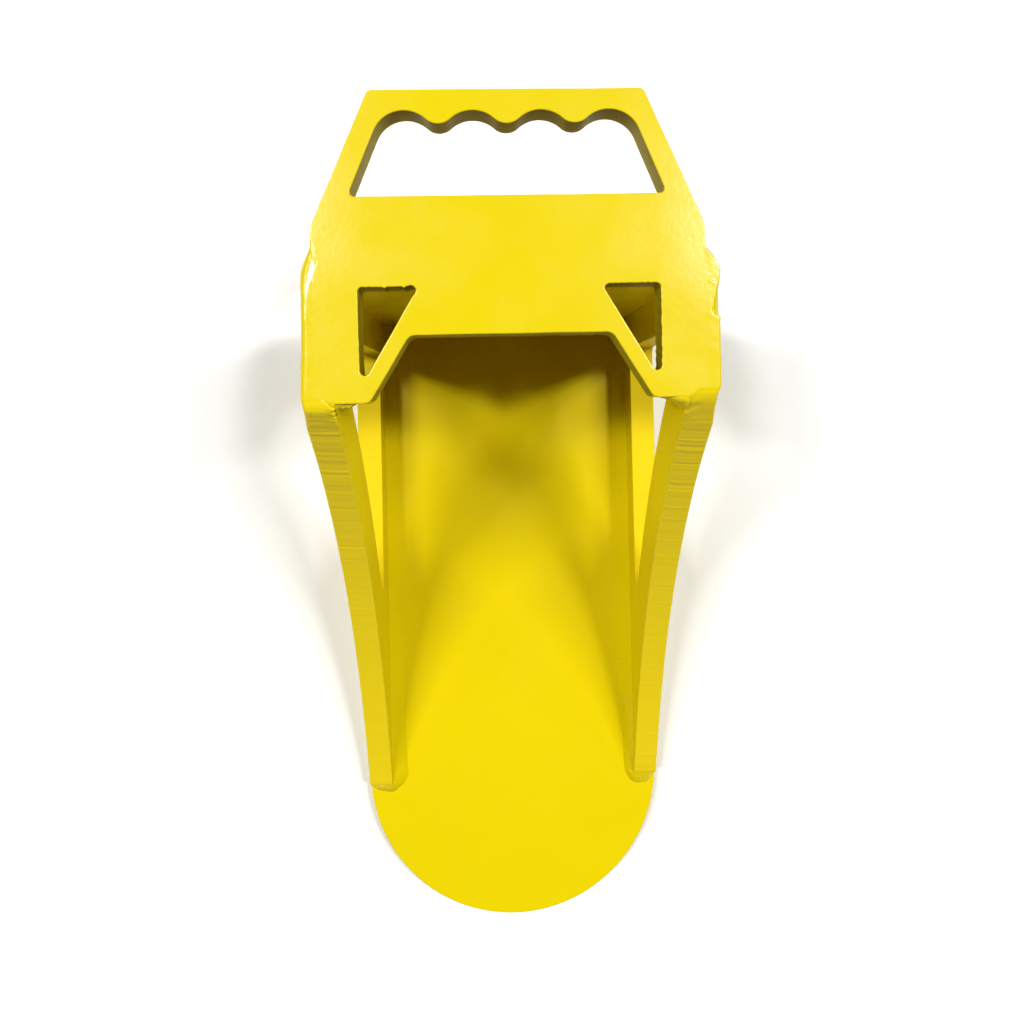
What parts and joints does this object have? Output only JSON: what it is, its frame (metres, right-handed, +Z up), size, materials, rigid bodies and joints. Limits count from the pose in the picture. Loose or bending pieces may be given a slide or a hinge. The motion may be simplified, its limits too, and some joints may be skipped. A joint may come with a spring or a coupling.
{
  "type": "toe jack lifting frame",
  "caption": "Welded plate toe-lift frame: a flat half-round toe, open curved side arms, a closed back and a top plate with a finger-grip carrying handle.",
  "frame": {"origin": "on the floor, under the middle of the frame's bounding box", "axes": "+X to the object's right seen from behind the handle, +Y from the toe's tip to the handle, +Z up"},
  "size_m": [0.127, 0.3224, 0.162],
  "materials": {
    "painted_plate": "gloss",
    "painted_weld": "gloss"
  },
  "bodies": {
    "root": {"toe_plate": "painted_plate", "left_side_plate": "painted_plate", "right_side_plate": "painted_plate", "back_plate": "painted_plate", "top_plate": "painted_plate", "toe_fillet_weld_left": "painted_weld", "toe_fillet_weld_right": "painted_weld", "toe_end_weld_left": "painted_weld", "toe_end_weld_right": "painted_weld", "top_side_weld_left": "painted_weld", "top_side_weld_right": "painted_weld", "top_front_weld_left": "painted_weld", "top_front_weld_right": "painted_weld", "top_inner_weld_left": "painted_weld", "top_inner_weld_right": "painted_weld", "rear_seam_weld_left": "painted_weld", "rear_seam_weld_right": "painted_weld", "rear_toe_weld": "painted_weld", "rear_top_weld": "painted_weld"}
  },
  "joints": []
}
